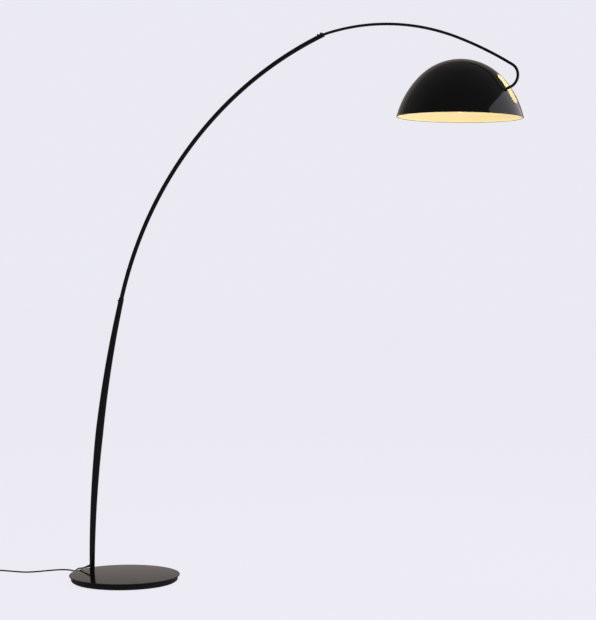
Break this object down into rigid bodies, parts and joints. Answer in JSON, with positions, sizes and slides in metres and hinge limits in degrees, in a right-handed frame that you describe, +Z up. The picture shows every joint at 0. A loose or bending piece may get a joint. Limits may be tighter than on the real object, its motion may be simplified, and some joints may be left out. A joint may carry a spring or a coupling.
{
  "type": "arc floor lamp",
  "caption": "Arc floor lamp: round weighted base, bent two-part pole, thin hooked rod and a dome shade that tilts on a hinge, with corded foot switch and flat plug.",
  "frame": {"origin": "centre of the base on the floor", "axes": "+Z up; +X from the pole towards the shade, in the plane of the arc; +Y completes a right-handed set"},
  "size_m": [2.2476, 0.4116, 1.9485],
  "materials": {
    "black_lacquer": "gloss black lacquer over steel",
    "base_lacquer": "gloss black lacquer over steel plate",
    "cast_weight": "satin black paint",
    "floor_rubber": "matte foam rubber",
    "shade_lacquer": "gloss black lacquer outside and cream lacquer inside, over spun aluminium",
    "black_steel": "satin black oxide",
    "zinc_steel": "bright zinc plate",
    "strap_steel": "satin zinc plate",
    "brass": "satin",
    "black_plastic": "fine satin grain",
    "white_plastic": "smooth",
    "grey_plastic": "smooth",
    "fibre": "matte pressed fibre",
    "nickel": "bright nickel",
    "opal_glass": "opal white, lit",
    "cord_pvc": "soft satin sheath",
    "lead_pvc": "soft clear sheath"
  },
  "bodies": {
    "stand": {"base_plate": "base_lacquer", "base_weight": "cast_weight", "floor_pad": "floor_rubber", "base_screws": "zinc_steel", "pole_bolt": "zinc_steel", "pole_washers": "zinc_steel", "foot_plug": "zinc_steel", "lower_tube": "black_lacquer", "mouth_bush": "black_plastic", "joint_screw": "black_steel", "guide_bush": "white_plastic", "upper_tube": "black_lacquer", "tip_plug": "black_steel", "rod_screws": "black_steel", "rod": "black_lacquer", "inner_lead": "lead_pvc", "cord_gland": "black_plastic", "rod_knuckle": "black_steel", "cord_to_switch": "cord_pvc", "switch_base": "black_plastic", "switch_top": "black_plastic", "switch_core": "white_plastic", "switch_screws": "zinc_steel", "cord_to_coil": "cord_pvc", "cord_coil": "cord_pvc", "cord_tie": "black_plastic", "cord_end": "cord_pvc", "plug_body": "black_plastic", "plug_pins": "nickel"},
    "head": {"tilt_clevis": "zinc_steel", "hinge_bolt": "zinc_steel", "hinge_nut": "zinc_steel", "friction_washers": "fibre", "clevis_screws": "zinc_steel", "hanger_strap": "strap_steel", "crown_posts": "strap_steel", "post_nuts": "zinc_steel", "holder_nipple": "brass", "nipple_nuts": "brass", "holder_cap": "black_plastic", "holder_core": "white_plastic", "holder_skirt": "black_plastic", "bulb_cap": "nickel", "bulb_globe": "opal_glass", "shade": "shade_lacquer", "head_lead": "lead_pvc"},
    "button": {"switch_button": "grey_plastic"}
  },
  "joints": [
    {"name": "shade_tilt", "type": "hinge", "parent": "stand", "child": "head", "pos_m": [1.38402, 0, 1.67555], "axis": [0, 1, 0], "range_deg": [-24, 28]},
    {"name": "switch_press", "type": "slide", "parent": "stand", "child": "button", "axis": [0, 0, -1], "range_m": [0, 0.0025], "stiffness_N_per_m": 800}
  ]
}
